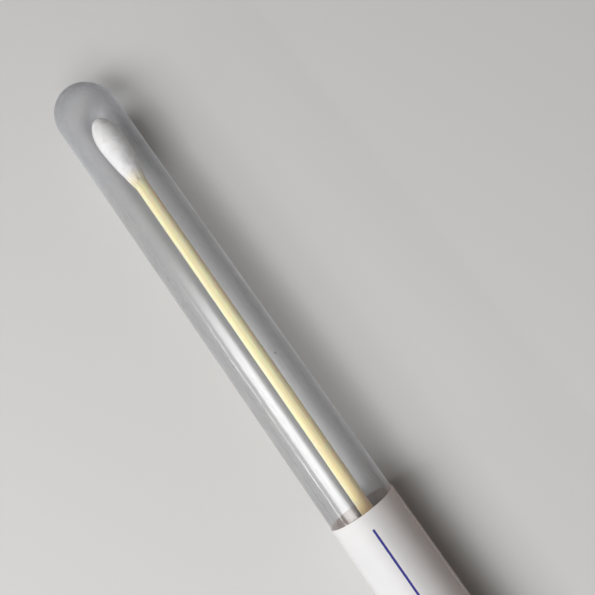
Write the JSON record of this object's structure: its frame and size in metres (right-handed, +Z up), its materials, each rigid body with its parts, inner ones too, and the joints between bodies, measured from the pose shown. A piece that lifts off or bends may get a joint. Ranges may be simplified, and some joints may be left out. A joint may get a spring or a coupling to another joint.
{
  "type": "specimen swab tube",
  "caption": "Round-bottomed hazy plastic tube with a wrapped paper label and a ribbed push-in cap that carries a wooden stick with a cotton bud.",
  "frame": {"origin": "centre of the tube's round end, on the tube's axis", "axes": "+X along the tube's axis towards the cap, +Z up, +Y the side where the label overlaps"},
  "size_m": [0.164, 0.0146, 0.0144],
  "materials": {
    "tube_polypropylene": "moulded, hazy, see-through",
    "label_paper": "uncoated, matte",
    "cap_polyethylene": "moulded, satin",
    "stick_birch": "turned, unfinished",
    "bud_cotton": "wound cotton fibre"
  },
  "bodies": {
    "tube": {"tube": "tube_polypropylene", "label": "label_paper"},
    "swab": {"cap": "cap_polyethylene", "swab_stick": "stick_birch", "cotton_bud": "bud_cotton"}
  },
  "joints": [
    {"name": "cap_pull", "type": "slide", "parent": "tube", "child": "swab", "axis": [1, 0, 0], "range_m": [0, 0.15]}
  ]
}
